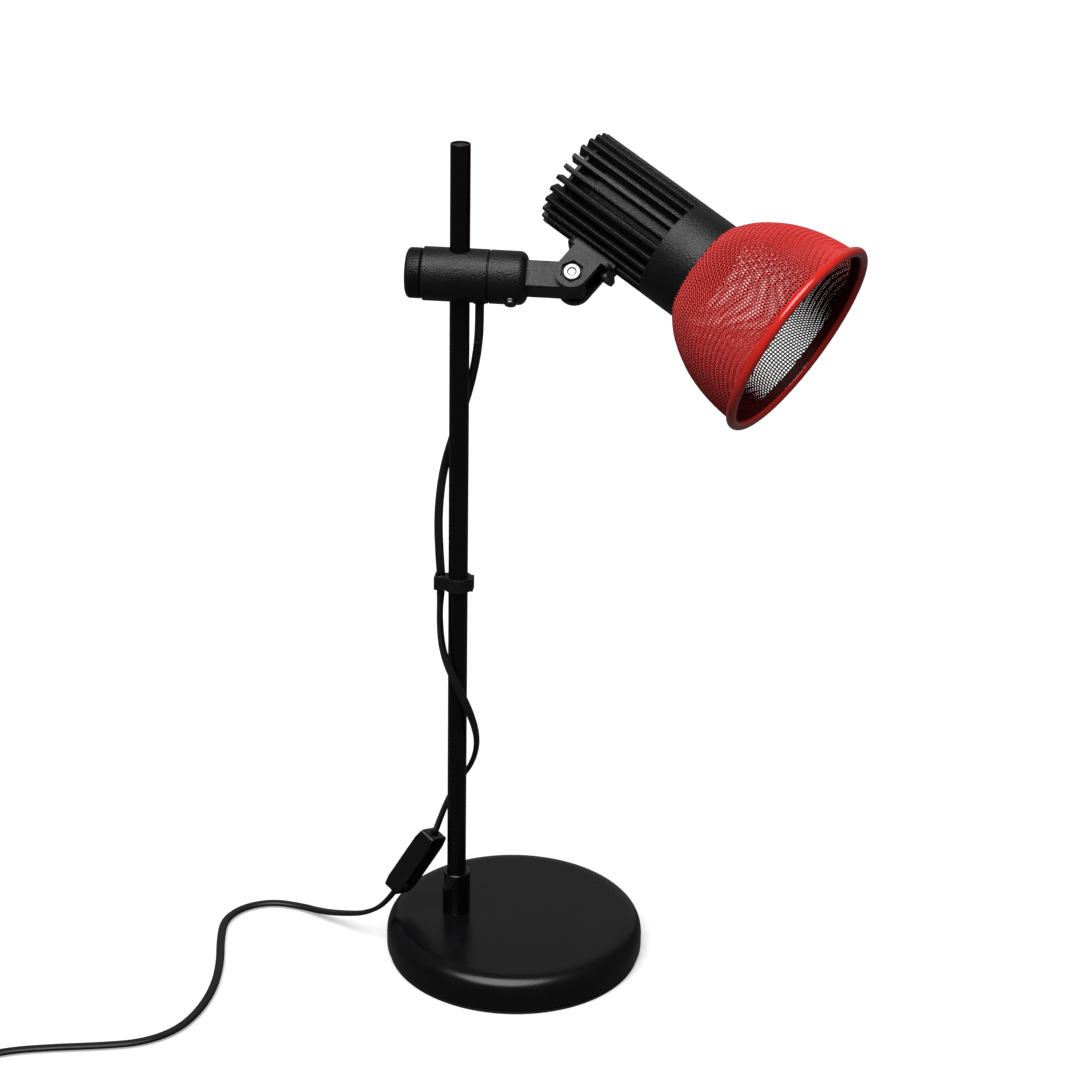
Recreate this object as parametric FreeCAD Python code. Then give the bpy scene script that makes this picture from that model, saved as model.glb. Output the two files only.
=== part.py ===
import FreeCAD, Part
import math
import os

os.makedirs("parts", exist_ok=True)
V = FreeCAD.Vector

# Desk lamp on a round weighted base.  Millimetres, +Z up, the floor at z = 0 and the
# middle of the base at the origin.  The arm leaves the pole along +X.

# base
base_radius = 82.4
base_height = 24.4
base_wall = 2.6
shoulder_radius = 11.0
lower_round = 2.4
foot_thickness = 2.0
foot_inset = 1.6
plate_thickness = 1.6
shell_lift = 3.0
base_screw_circle = 52.0
base_screw_radius = 1.9

# pole
pole_x = -38.0
pole_radius = 6.0
pole_wall = 1.2
pole_top = 536.0
pole_seat = 13.0
stud_radius = 4.0
sleeve_radius = 9.0
sleeve_height = 29.2

# fits
running_gap = 0.05
loose_gap = 0.3
seat_gap = 0.1

# clamp on the pole, turned shape on its own X axis
clamp_z = 456.3
clamp_radius = 16.0
clamp_left = -21.7
bushing_wall = 1.45
bushing_half = 11.9
knob_inset = 1.0
knob_width = 9.6
spindle_radius = 4.0
pad_thickness = 2.3
pad_lift = 0.4

# arm: round hub on a hollow pin, then a square bar with a rounded tongue
hub_inset = 0.1
hub_length = 22.0
hub_screw_inset = 13.2
washer_thickness = 0.4
pin_radius = 6.0
pin_bore = 3.2
arm_half = 8.5
pivot_reach = 67.0
tongue_end = 7.5
tongue_round = 4.0

# rest pose of the arm and of the head
arm_roll = 42.0
head_tilt = 35.0

# head bracket, in the head's own frame with the pivot at its origin
ear_radius = 10.0
ear_thickness = 4.7
ear_washer = 0.5
bracket_plate_z = 14.4
bracket_plate_thick = 2.9
bracket_rear = -15.5
bracket_front = 17.0
bolt_radius = 3.0
bolt_head_radius = 5.2
bolt_recess = 12.4
hex_across = 10.0
hex_height = 3.3

# lamp head, turned shapes on an axis parallel to the head's X
saddle_rise = 2.7
neck_x = 58.5
housing_radius = 32.0
housing_length = 99.5
band_length = 25.0
band_wall = 2.8
fin_count = 25
fin_phase = 0.24
fin_thickness = 3.0
fin_depth = 8.4
fin_corner = 5.0
fin_tip = 5.5
fin_ring_width = 2.7
fin_gap = 20.3
liner_wall = 1.6
can_wall = 0.9

# shade: woven dome with a rolled rim
mesh_wall = 0.9
mesh_flare = [(0.8, 1.0), (8.0, 8.6), (16.8, 15.0), (28.0, 20.9), (40.4, 25.0), (52.0, 27.2), (63.8, 28.2)]
rim_flare = 32.0
rim_bead = 3.0
rim_front = 70.0
skirt_depth = 8.5
skirt_wall = 1.4

# lampholder for an E27 bulb, and the cap over its terminals
bulb_cap_radius = 13.4
socket_depth = 25.6
holder_floor = 9.2
holder_wall = 4.5
holder_step = 10.6
terminal_cap_length = 15.0

# cord
cord_radius = 2.7
gland_wall = 1.0
clip_z = 253.3
clip_height = 8.4
clip_wall = 2.4
coil_reach = 269.6
coil_y = -186.0
coil_mid_radius = 31.0
coil_band = 11.4
coil_lift = 0.9
tie_wall = 0.7

# switch on the cord, its ends measured from the rim of the base
switch_top = V(30.0 - base_radius, 1.0, 78.8)
switch_bottom = V(6.1 - base_radius, -5.0, 39.6)
switch_side = V(-0.352, -0.852, 0.386)
switch_width = 18.0
switch_thick = 12.7
rocker_length = 13.0
rocker_width = 8.0
rocker_rise = 1.6
rocker_pivot_depth = 2.0
rocker_pivot_radius = 0.9
rocker_lean = 0.5

# plug
plug_length = 36.0
plug_width = 25.0
plug_thick = 13.6
pin_length = 19.0
pin_spacing = 18.6
plug_pin_radius = 2.0


def save(name, shape):
    solids = shape.Solids
    if not solids or not shape.isValid():
        raise ValueError(name + " is not a sound solid")
    kept = solids[0] if len(solids) == 1 else Part.makeCompound(solids)
    kept.exportStep("parts/" + name + ".step")
    print(name, len(solids), round(kept.Volume, 1))


def rod(radius, z0, z1, x=0.0, y=0.0):
    return Part.makeCylinder(radius, z1 - z0, V(x, y, z0))


def ring(outer, inner, z0, z1, x=0.0, y=0.0):
    return rod(outer, z0, z1, x, y).cut(rod(inner, z0 - 1, z1 + 1, x, y))


def rod_x(radius, x0, x1, z=0.0):
    return Part.makeCylinder(radius, x1 - x0, V(x0, 0, z), V(1, 0, 0))


def ring_x(outer, inner, x0, x1):
    return rod_x(outer, x0, x1).cut(rod_x(inner, x0 - 1, x1 + 1))


def block(x0, x1, y0, y1, z0, z1):
    return Part.makeBox(x1 - x0, y1 - y0, z1 - z0, V(x0, y0, z0))


def hexagon_y(across, y0, y1):
    corner = across / math.sqrt(3)
    points = [V(corner * math.cos(k * math.pi / 3), y0, corner * math.sin(k * math.pi / 3)) for k in range(7)]
    return Part.Face(Part.makePolygon(points)).extrude(V(0, y1 - y0, 0))


def turned_z(points):
    """Solid of revolution about Z from (radius, z) corners."""
    outline = [V(r, 0, z) for r, z in points + points[:1]]
    return Part.Face(Part.makePolygon(outline)).revolve(V(0, 0, 0), V(0, 0, 1), 360)


def turned_x(points):
    """Solid of revolution about X from (x, radius) corners."""
    outline = [V(x, 0, r) for x, r in points + points[:1]]
    return Part.Face(Part.makePolygon(outline)).revolve(V(0, 0, 0), V(1, 0, 0), 360)


def curve_through(points):
    spline = Part.BSplineCurve()
    spline.interpolate([V(x, 0, r) for x, r in points])
    return spline.toShape()


def thin_turned_x(points, wall):
    """Thin shell about X: a smooth outer line and the same line moved in by its wall."""
    inner = []
    for k, (x, r) in enumerate(points):
        x0, r0 = points[max(k - 1, 0)]
        x1, r1 = points[min(k + 1, len(points) - 1)]
        run = math.hypot(x1 - x0, r1 - r0)
        inner.append((x + wall * (r1 - r0) / run, r - wall * (x1 - x0) / run))
    ends = [Part.LineSegment(V(points[-1][0], 0, points[-1][1]), V(inner[-1][0], 0, inner[-1][1])).toShape(),
            Part.LineSegment(V(inner[0][0], 0, inner[0][1]), V(points[0][0], 0, points[0][1])).toShape()]
    wire = Part.Wire(Part.__sortEdges__([curve_through(points), ends[0], curve_through(inner), ends[1]]))
    return Part.Face(wire).revolve(V(0, 0, 0), V(1, 0, 0), 360)


def round_edges(shape, radius, chosen):
    edges = [e for e in shape.Edges if chosen(e)]
    return shape.makeFillet(radius, edges)


def placed(shape, placement):
    moved = shape.copy()
    moved.Placement = placement.multiply(moved.Placement)
    return moved


# ---- base: pressed shell over a cast weight, closed by a plate on a soft foot
foot_top = foot_thickness
plate_top = foot_top + plate_thickness
ceiling = base_height - base_wall
shell_inner = base_radius - base_wall
shell = turned_z([(0, shell_lift), (base_radius, shell_lift), (base_radius, base_height), (0, base_height)])
shell = round_edges(shell, shoulder_radius, lambda e: abs(e.BoundBox.ZMin - base_height) < 0.01 and e.Length > 1)
shell = round_edges(shell, lower_round, lambda e: abs(e.BoundBox.ZMax - shell_lift) < 0.01 and e.Length > 1)
hollow = turned_z([(0, shell_lift - 1), (shell_inner, shell_lift - 1), (shell_inner, ceiling), (0, ceiling)])
inner_round = shoulder_radius - base_wall
hollow = round_edges(hollow, inner_round, lambda e: abs(e.BoundBox.ZMin - ceiling) < 0.01 and e.Length > 1)
shell = shell.cut(hollow).cut(rod(pole_radius + seat_gap, shell_lift, base_height + 1, pole_x))
save("base_shell", shell)

nut_recess = 9.5
recess_top = pole_seat - 3.4
weight_radius = shell_inner - 4 * seat_gap
weight = rod(weight_radius, plate_top, ceiling)
weight = round_edges(weight, inner_round + 0.6, lambda e: abs(e.BoundBox.ZMin - ceiling) < 0.01 and e.Length > 1)
weight = weight.cut(rod(pole_radius + seat_gap, pole_seat, ceiling + 1, pole_x))
weight = weight.cut(rod(stud_radius + seat_gap, plate_top - 1, pole_seat + 1, pole_x))
weight = weight.cut(rod(nut_recess, plate_top - 1, recess_top, pole_x))
plate_radius = shell_inner - 2 * loose_gap
bottom = rod(plate_radius, foot_top, plate_top)
screws = []
for k in range(3):
    angle = math.radians(120 * k + 60)
    sx = base_screw_circle * math.cos(angle)
    sy = base_screw_circle * math.sin(angle)
    shank_top = plate_top + 9.0
    weight = weight.cut(rod(base_screw_radius + seat_gap, plate_top - 1, shank_top + 1, sx, sy))
    bottom = bottom.cut(Part.makeCone(3.4, base_screw_radius + seat_gap, plate_thickness, V(sx, sy, foot_top)))
    head = Part.makeCone(3.3, base_screw_radius, plate_thickness, V(sx, sy, foot_top))
    screws.append(head.fuse(rod(base_screw_radius, plate_top, shank_top, sx, sy)))
save("base_weight", weight)
save("base_plate", bottom)
save("base_screws", Part.makeCompound(screws))
save("base_foot", rod(base_radius - foot_inset, 0, foot_top))

# ---- pole: a steel tube screwed down through the weight, with a gloss ferrule round its foot
save("pole", ring(pole_radius, pole_radius - pole_wall, pole_seat, pole_top, pole_x))
bore_radius = pole_radius - pole_wall - running_gap
nut_height = 4.6
washer_height = 1.0
stud = rod(stud_radius, plate_top + 0.4, pole_seat, pole_x).fuse(rod(bore_radius, pole_seat, pole_seat + 20, pole_x))
save("pole_stud", stud.removeSplitter())
washer_base = recess_top - washer_height
save("pole_washer", ring(8.0, stud_radius + seat_gap, washer_base, recess_top, pole_x))
hex_corner = 13.0 / math.sqrt(3)
nut_points = [V(pole_x + hex_corner * math.cos(k * math.pi / 3), hex_corner * math.sin(k * math.pi / 3),
                washer_base - nut_height) for k in range(7)]
nut = Part.Face(Part.makePolygon(nut_points)).extrude(V(0, 0, nut_height))
save("pole_nut", nut.cut(rod(stud_radius + running_gap, 0, recess_top, pole_x)))
sleeve_top = base_height + sleeve_height
sleeve = ring(sleeve_radius, pole_radius + running_gap, base_height, sleeve_top, pole_x)
sleeve = round_edges(sleeve, 0.8, lambda e: abs(e.BoundBox.ZMin - sleeve_top) < 0.01
                     and abs(e.BoundBox.XLength - 2 * sleeve_radius) < 0.1)
save("pole_sleeve", sleeve)
save("pole_plug", rod(bore_radius, pole_top - 7, pole_top - 1.0, pole_x))

# ---- clip that snaps round the pole and holds the cord
clip_top = clip_z + clip_height
clip_outer = pole_radius + clip_wall
clip_cord_x = pole_x - clip_outer - 2.2
clip = rod(clip_outer, clip_z, clip_top, pole_x)
clip_tab = pole_x + clip_outer + 1.2
clip = clip.fuse(block(pole_x, clip_tab, -3.6, 3.6, clip_z, clip_top))
clip = clip.fuse(block(clip_cord_x - cord_radius - 1.3, pole_x, -4.4, 4.4, clip_z, clip_top)).removeSplitter()
clip = clip.cut(rod(pole_radius + running_gap, clip_z - 1, clip_top + 1, pole_x))
clip = clip.cut(rod(cord_radius + seat_gap, clip_z - 1, clip_top + 1, clip_cord_x))
clip = clip.cut(block(pole_x + pole_radius, clip_tab + 1, -0.4, 0.4, clip_z - 1, clip_top + 1))
save("cord_clip", clip)

# ---- clamp: bushing on the pole, body that swings round it, knob with spindle and pad
at_clamp = FreeCAD.Placement(V(pole_x, 0, clamp_z), FreeCAD.Rotation())
bushing_radius = pole_radius + running_gap + bushing_wall
gland_radius = cord_radius + gland_wall
gland_x = bushing_radius + gland_radius + 0.7
clamp_right = gland_x + gland_radius + 1.8
knob_radius = clamp_radius - knob_inset
chamber_half = bushing_half + loose_gap
chamber_radius = bushing_radius + running_gap
bushing = ring(bushing_radius, pole_radius + running_gap, -bushing_half, bushing_half)
save("clamp_bushing", placed(bushing, at_clamp))

body = rod_x(clamp_radius, clamp_left, clamp_right)
body = round_edges(body, 0.6, lambda e: abs(e.Length - 2 * math.pi * clamp_radius) < 0.1)
body = body.cut(rod(pole_radius + loose_gap, -20, 20)).cut(rod(chamber_radius, -chamber_half, chamber_half))
body = body.cut(rod_x(spindle_radius + running_gap, clamp_left - 1, 0))
gland_floor = -clamp_radius + 9.0
body = body.cut(rod(gland_radius + seat_gap, -20, gland_floor, gland_x))
pin_start = bushing_radius + 2.0
body = body.cut(rod_x(pin_radius + seat_gap, pin_start, clamp_right + 1))
save("clamp_body", placed(body, at_clamp))

knob_right = clamp_left - 0.4
knob_left = knob_right - knob_width
knob = turned_x([(knob_right, 0), (knob_right, knob_radius - 0.8), (knob_right - 0.8, knob_radius),
                 (knob_left + 2.6, knob_radius), (knob_left + 1.0, knob_radius - 1.2),
                 (knob_left, knob_radius - 3.4), (knob_left, 0)])
spindle_tip = -bushing_radius - pad_lift - pad_thickness - 1.3
knob = knob.cut(rod_x(spindle_radius, knob_left + 3, knob_right + 1))
save("clamp_knob", placed(knob, at_clamp))
save("knob_spindle", placed(rod_x(spindle_radius, knob_left + 3, spindle_tip), at_clamp))
pad_right = -bushing_radius - pad_lift
pad = rod_x(spindle_radius, pad_right - pad_thickness, pad_right)
save("clamp_pad", placed(pad, at_clamp))

gland_flange = 0.5
gland_bottom = -clamp_radius - gland_flange
gland = ring(gland_radius, cord_radius + seat_gap, -clamp_radius, gland_floor - 0.2, gland_x)
flange = ring(gland_radius + 0.5, cord_radius + seat_gap, gland_bottom, -clamp_radius, gland_x)
save("cord_gland", placed(gland.fuse(flange).removeSplitter(), at_clamp))

# ---- arm: hub turning on the hollow pin, held by a radial screw in the pin's groove
rolled = FreeCAD.Placement(V(), FreeCAD.Rotation(V(1, 0, 0), -arm_roll))
at_arm = at_clamp.multiply(rolled)
hub_left = clamp_right + washer_thickness + loose_gap
hub_right = hub_left + hub_length
hub_radius = clamp_radius - hub_inset
hub_screw_x = hub_left + hub_screw_inset
pin_end = hub_screw_x + 4.4
groove_half = 2.3
pin = ring_x(pin_radius, pin_bore, pin_start, pin_end)
pin = pin.cut(ring_x(pin_radius + 1, pin_radius - 1.4, hub_screw_x - groove_half, hub_screw_x + groove_half))
save("swivel_pin", placed(pin, at_clamp))
washer = ring_x(hub_radius - 1.2, pin_radius + seat_gap, clamp_right, clamp_right + washer_thickness)
save("swivel_washer", placed(washer, at_clamp))

hub = rod_x(hub_radius, hub_left, hub_right)
hub = round_edges(hub, 5.0, lambda e: abs(e.BoundBox.XMin - hub_right) < 0.01 and e.Length > 50)
hub = round_edges(hub, 0.5, lambda e: abs(e.BoundBox.XMax - hub_left) < 0.01 and e.Length > 50)
bar = block(hub_left + 8, pivot_reach + tongue_end, -arm_half, arm_half, -arm_half, arm_half)
bar = round_edges(bar, tongue_round, lambda e: abs(e.BoundBox.XMin - pivot_reach - tongue_end) < 0.01
                  and e.BoundBox.YLength > 10)
bar = round_edges(bar, 1.0, lambda e: e.BoundBox.XLength > 20)
arm = hub.fuse(bar).removeSplitter()
arm = arm.cut(rod_x(pin_radius + running_gap, hub_left - 1, pin_end + loose_gap))
arm = arm.cut(rod_x(pin_bore, pin_end, pivot_reach - 12))
arm = arm.cut(rod(pin_bore, 0, arm_half + 1, pivot_reach - 12 - pin_bore))
flat_z = -hub_radius + 1.0
arm = arm.cut(rod(5.2, -hub_radius - 1, flat_z, hub_screw_x))
screw_shank = 2.0
arm = arm.cut(rod(screw_shank + seat_gap, -hub_radius, 1.5 - pin_radius, hub_screw_x))
pivot_hole = Part.makeCylinder(bolt_radius + running_gap, 40, V(pivot_reach, -20, 0), V(0, 1, 0))
save("arm", placed(arm.cut(pivot_hole), at_arm))

screw_washer = 0.8
head_base = flat_z - screw_washer
screw = rod(3.6, head_base - 2.2, head_base, hub_screw_x)
screw = round_edges(screw, 1.2, lambda e: abs(e.BoundBox.ZMax - head_base + 2.2) < 0.01 and e.Length > 5)
screw = screw.fuse(rod(screw_shank, head_base, -pin_radius + 1.0, hub_screw_x))
for turn in (0, 90):
    slot = block(-2.2, 2.2, -0.4, 0.4, head_base - 3, head_base - 1.0)
    slot.rotate(V(), V(0, 0, 1), turn)
    slot.translate(V(hub_screw_x, 0, 0))
    screw = screw.cut(slot)
save("hub_screw", placed(screw, at_arm))
save("hub_screw_washer", placed(ring(4.8, screw_shank + seat_gap, head_base, flat_z, hub_screw_x), at_arm))

# ---- head bracket: plate with two ears on a hexagon bolt
tilted = FreeCAD.Placement(V(pivot_reach, 0, 0), FreeCAD.Rotation(V(0, 1, 0), head_tilt))
at_head = at_arm.multiply(tilted)
ear_inner = arm_half + loose_gap + ear_washer
ear_outer = ear_inner + ear_thickness
plate_z1 = bracket_plate_z + bracket_plate_thick
plate = block(bracket_rear, bracket_front, -ear_outer, ear_outer, bracket_plate_z, plate_z1)
plate = round_edges(plate, 5.0, lambda e: e.BoundBox.ZLength > 2 and e.BoundBox.XLength < 0.1
                    and e.BoundBox.YLength < 0.1)
bracket = plate
pocket_depth = hex_height + seat_gap
for side in (-1, 1):
    y0 = min(side * ear_inner, side * ear_outer)
    y1 = max(side * ear_inner, side * ear_outer)
    ear = Part.makeCylinder(ear_radius, ear_thickness, V(0, y0, 0), V(0, 1, 0))
    ear = ear.fuse(block(-ear_radius, ear_radius, y0, y1, 0, bracket_plate_z)).removeSplitter()
    bracket = bracket.fuse(ear)
bracket = bracket.removeSplitter()
bracket = bracket.cut(Part.makeCylinder(bolt_radius + seat_gap, 60, V(0, -30, 0), V(0, 1, 0)))
bracket = bracket.cut(hexagon_y(bolt_recess, -ear_outer - 1, -ear_outer + pocket_depth))
bracket = bracket.cut(hexagon_y(hex_across + 0.7, ear_outer - pocket_depth, ear_outer + 1))
wire_slot = block(-8, 2, -3.2, 3.2, bracket_plate_z - 1, plate_z1 + 1)
bracket = bracket.cut(wire_slot)
bracket_screw_x = (bracket_rear + 4.5, bracket_front - 4.0)
for x in bracket_screw_x:
    bracket = bracket.cut(rod(1.6, bracket_plate_z - 1, plate_z1 + 1, x))
save("head_bracket", placed(bracket, at_head))

bolt_head = Part.makeCylinder(bolt_head_radius, hex_height, V(0, -ear_outer + seat_gap, 0), V(0, 1, 0))
bolt_head = round_edges(bolt_head, 0.9, lambda e: e.BoundBox.YMax < -ear_outer + 1 and e.BoundBox.XLength > 5)
shank_end = ear_outer - 0.4
bolt = bolt_head.fuse(Part.makeCylinder(bolt_radius, shank_end + ear_outer - hex_height,
                                        V(0, -ear_outer + hex_height, 0), V(0, 1, 0)))
save("pivot_bolt", placed(bolt.removeSplitter(), at_head))
nut = hexagon_y(hex_across, ear_outer - hex_height, ear_outer)
nut = nut.cut(Part.makeCylinder(bolt_radius + running_gap, 20, V(0, 5, 0), V(0, 1, 0)))
save("pivot_nut", placed(nut, at_head))
washers = []
for side in (-1, 1):
    y0 = min(side * ear_inner, side * (ear_inner - ear_washer))
    disc = Part.makeCylinder(8.0, ear_washer, V(0, y0, 0), V(0, 1, 0))
    washers.append(disc.cut(Part.makeCylinder(bolt_radius + seat_gap, 5, V(0, y0 - 1, 0), V(0, 1, 0))))
save("pivot_washers", placed(Part.makeCompound(washers), at_head))

# ---- lamp housing: smooth band, cooling fins round a liner, ring near the fin tips
fin_inner = housing_radius - fin_depth
head_axis_z = plate_z1 + saddle_rise + housing_radius
on_axis = FreeCAD.Placement(V(neck_x, 0, head_axis_z), FreeCAD.Rotation())
at_neck = at_head.multiply(on_axis)
band_inner = housing_radius - band_wall
liner_outer = fin_inner + liner_wall
housing = [ring_x(housing_radius, band_inner, -band_length, 0),
           ring_x(housing_radius, fin_inner, -band_length, -band_length + 2),
           ring_x(liner_outer, fin_inner, -housing_length + fin_gap, -band_length + 1),
           ring_x(fin_inner + 5, fin_inner - 1.4, -housing_length + fin_tip,
                  -housing_length + fin_tip + fin_ring_width)]
half = fin_thickness / 2
bend = fin_corner * (1 - math.sqrt(0.5))
rear = -housing_length
fin_edges = [Part.LineSegment(V(rear, -half, fin_inner), V(rear, -half, housing_radius - fin_corner)),
             Part.Arc(V(rear, -half, housing_radius - fin_corner),
                      V(rear + bend, -half, housing_radius - bend),
                      V(rear + fin_corner, -half, housing_radius)),
             Part.LineSegment(V(rear + fin_corner, -half, housing_radius), V(1 - band_length, -half, housing_radius)),
             Part.LineSegment(V(1 - band_length, -half, housing_radius), V(1 - band_length, -half, fin_inner)),
             Part.LineSegment(V(1 - band_length, -half, fin_inner), V(rear, -half, fin_inner))]
fin = Part.Face(Part.Wire([edge.toShape() for edge in fin_edges])).extrude(V(0, fin_thickness, 0))
for k in range(fin_count):
    blade = fin.copy()
    blade.rotate(V(), V(1, 0, 0), 360.0 * (k + fin_phase) / fin_count)
    housing.append(blade)
saddle_outer = head_axis_z - plate_z1
saddle_x0 = bracket_rear + 1 - neck_x
saddle_x1 = bracket_front - 1 - neck_x
housing.append(block(saddle_x0, saddle_x1, -6, 6, -saddle_outer, -fin_inner))
shell = housing[0].multiFuse(housing[1:]).removeSplitter()
shell = shell.cut(rod_x(fin_inner, saddle_x0 - 1, saddle_x1 + 1))
for x in bracket_screw_x:
    shell = shell.cut(rod(1.6, -saddle_outer - 1, -saddle_outer + 7, x - neck_x))
save("lamp_housing", placed(shell, at_neck))

screws = []
for x in bracket_screw_x:
    head = rod(2.8, bracket_plate_z - 2.0, bracket_plate_z, x)
    screws.append(head.fuse(rod(1.5, bracket_plate_z, plate_z1 + 6, x)).removeSplitter())
save("bracket_screws", placed(Part.makeCompound(screws), at_head))

can_outer = fin_inner - 0.2
can_rear = -housing_length + fin_gap
can_front = -band_length + 5
can = turned_x([(can_rear, 5.0), (can_rear, can_outer), (can_front, can_outer), (can_front, can_outer - can_wall),
                (can_rear + 1.4, can_outer - can_wall), (can_rear + 1.4, 5.0)])
save("inner_can", placed(can, at_neck))

holder_rear = can_rear + 1.4
cavity = bulb_cap_radius + 1.6
holder_radius = cavity + holder_wall
contact_x = holder_rear + holder_floor
holder_front = contact_x + socket_depth
step_x = contact_x + holder_step
holder = turned_x([(holder_rear, 0), (holder_rear, holder_radius), (step_x, holder_radius),
                   (step_x, holder_radius - 1.8), (holder_front, holder_radius - 1.8),
                   (holder_front, cavity), (contact_x, cavity), (contact_x, 0)])
save("lampholder", placed(holder, at_neck))
save("holder_thread", placed(ring_x(cavity, cavity - 0.5, contact_x + 1, holder_front - 2), at_neck))
contact = turned_x([(contact_x, 0), (contact_x, 4.5), (contact_x + 0.6, 4.5), (contact_x + 0.6, 2.5),
                    (contact_x + 2.6, 2.5), (contact_x + 2.6, 0)])
save("holder_contact", placed(contact, at_neck))
cap_rear = can_rear - terminal_cap_length
terminal_cap = turned_x([(cap_rear, 0), (cap_rear, 17.0), (cap_rear + 2.5, 20.5), (can_rear, can_outer - seat_gap),
                         (can_rear, 4.8), (holder_rear, 4.8), (holder_rear, 0)])
save("terminal_cap", placed(terminal_cap, at_neck))

# ---- shade: collar, woven dome and the rolled rim with its inner skirt
save("shade_collar", placed(ring_x(housing_radius, band_inner, 0, 2.2), at_neck))
mesh_profile = [(x, housing_radius + flare) for x, flare in mesh_flare]
save("shade_mesh", placed(thin_turned_x(mesh_profile, mesh_wall), at_neck))
bead_x = rim_front - rim_bead
bead_r = housing_radius + rim_flare - rim_bead
bead = Part.makeTorus(bead_r, rim_bead, V(bead_x, 0, 0), V(1, 0, 0))
skirt_outer = mesh_profile[-1][1] - mesh_wall - loose_gap
skirt = ring_x(skirt_outer, skirt_outer - skirt_wall, rim_front - skirt_depth, bead_x)
rim = bead.fuse(skirt).removeSplitter()
save("shade_rim", placed(rim, at_neck))

# ---- switch on the cord: two half shells, a rocker, one screw
switch_x = switch_bottom.sub(switch_top)
switch_length = switch_x.Length
switch_x.normalize()
switch_z = switch_x.cross(switch_side)
switch_z.normalize()
switch_y = switch_z.cross(switch_x)
mid = switch_top.add(switch_bottom).multiply(0.5)
turn = FreeCAD.Rotation(switch_x, switch_y, switch_z, "ZXY")
at_switch = FreeCAD.Placement(mid, turn)


def switch_half(side):
    """Half of the switch case: flat at the split, thinner and rounded towards both ends."""
    reach = switch_length / 2
    high = side * switch_thick / 2
    low = high * 0.8
    outline = [V(-reach, 0, 0), V(-reach, 0, low), V(-reach + 7, 0, high), V(reach - 7, 0, high),
               V(reach, 0, low), V(reach, 0, 0), V(-reach, 0, 0)]
    face = Part.Face(Part.makePolygon(outline))
    face.translate(V(0, -switch_width / 2, 0))
    half_shell = face.extrude(V(0, switch_width, 0))
    half_shell = round_edges(half_shell, 2.0, lambda e: e.BoundBox.YLength < 0.1 and e.BoundBox.XLength < 0.1)
    cavity_box = block(-reach + 3, reach - 3, -switch_width / 2 + 2, switch_width / 2 - 2,
                       min(0, side * (switch_thick / 2 - 2.2)), max(0, side * (switch_thick / 2 - 2.2)))
    return half_shell.cut(cavity_box).cut(rod_x(cord_radius + seat_gap, -reach - 1, reach + 1))


def rocker_pivot(radius, reach):
    """Round bar across the switch on the axis that the rocker turns about."""
    height = switch_thick / 2 - rocker_pivot_depth
    return Part.makeCylinder(radius, 2 * reach, V(0, -reach, height), V(0, 1, 0))


switch_slot = block(-rocker_length / 2, rocker_length / 2, -rocker_width / 2, rocker_width / 2, 2, 10)
pivot_reach_y = rocker_width / 2 + 1.2
cover = switch_half(1).cut(switch_slot)
cover = cover.cut(rocker_pivot(rocker_pivot_radius + running_gap, pivot_reach_y + loose_gap))
save("switch_cover", placed(cover, at_switch))
screw_x = switch_length / 2 - 7.5
base_half = switch_half(-1)
boss = rod(2.6, -switch_thick / 2 + 1, -cord_radius - 0.6, screw_x, 5.0)
base_half = base_half.fuse(boss).cut(rod(1.5, -10, 10, screw_x, 5.0)).cut(rod(2.7, -10, -switch_thick / 2 + 1.4,
                                                                           screw_x, 5.0))
save("switch_body", placed(base_half, at_switch))
small_screw = rod(1.4, -switch_thick / 2 + 0.6, -cord_radius - 0.6, screw_x, 5.0)
small_screw = small_screw.fuse(rod(2.5, -switch_thick / 2 + 0.2, -switch_thick / 2 + 1.3, screw_x, 5.0))
save("switch_screw", placed(small_screw.removeSplitter(), at_switch))
rocker_gap = loose_gap
rocker_x = rocker_length / 2 - rocker_gap
rocker_y = rocker_width / 2 - rocker_gap
rocker_top = switch_thick / 2 + rocker_rise
rocker_low = switch_thick / 2 - 2.6
rocker_points = [V(-rocker_x, -rocker_y, rocker_low), V(rocker_lean - rocker_x, -rocker_y, rocker_top),
                 V(0, -rocker_y, switch_thick / 2 + 0.3), V(rocker_x, -rocker_y, switch_thick / 2 + 0.5),
                 V(rocker_x, -rocker_y, rocker_low), V(-rocker_x, -rocker_y, rocker_low)]
rocker = Part.Face(Part.makePolygon(rocker_points)).extrude(V(0, 2 * rocker_y, 0))
rocker = rocker.fuse(rocker_pivot(rocker_pivot_radius, pivot_reach_y)).removeSplitter()
save("switch_rocker", placed(rocker, at_switch))

# ---- cord: straight runs joined by tangent arcs


def cord_tube(name, points, radius):
    """Tube along the points; each arc is 0.45 of its shorter run over tan(half the turn)."""
    edges = []
    start = points[0]
    path_length = 0.0
    tightest = 1e9
    for before, corner, after in zip(points, points[1:], points[2:]):
        one = corner.sub(before)
        two = after.sub(corner)
        trim = 0.45 * min(one.Length, two.Length)
        angle = one.getAngle(two)
        one.normalize()
        two.normalize()
        arc_radius = trim / math.tan(angle / 2)
        tightest = min(tightest, arc_radius)
        a = corner.sub(one * trim)
        b = corner.add(two * trim)
        inward = two.sub(one)
        inward.normalize()
        center = corner.add(inward * (arc_radius / math.cos(angle / 2)))
        middle = center.sub(inward * arc_radius)
        edges.append(Part.LineSegment(start, a).toShape())
        edges.append(Part.Arc(a, middle, b).toShape())
        path_length += a.sub(start).Length + arc_radius * angle
        start = b
    edges.append(Part.LineSegment(start, points[-1]).toShape())
    path_length += points[-1].sub(start).Length
    path = Part.Wire(edges)
    first = points[1].sub(points[0])
    section = Part.Wire(Part.makeCircle(radius, points[0], first))
    tube = path.makePipeShell([section], True, False, 1)
    ratio = tube.Volume / (math.pi * radius ** 2 * path_length)
    print(name, "length", round(path_length, 1), "tightest", round(tightest, 1), "volume ratio", round(ratio, 3))
    return tube


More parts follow.
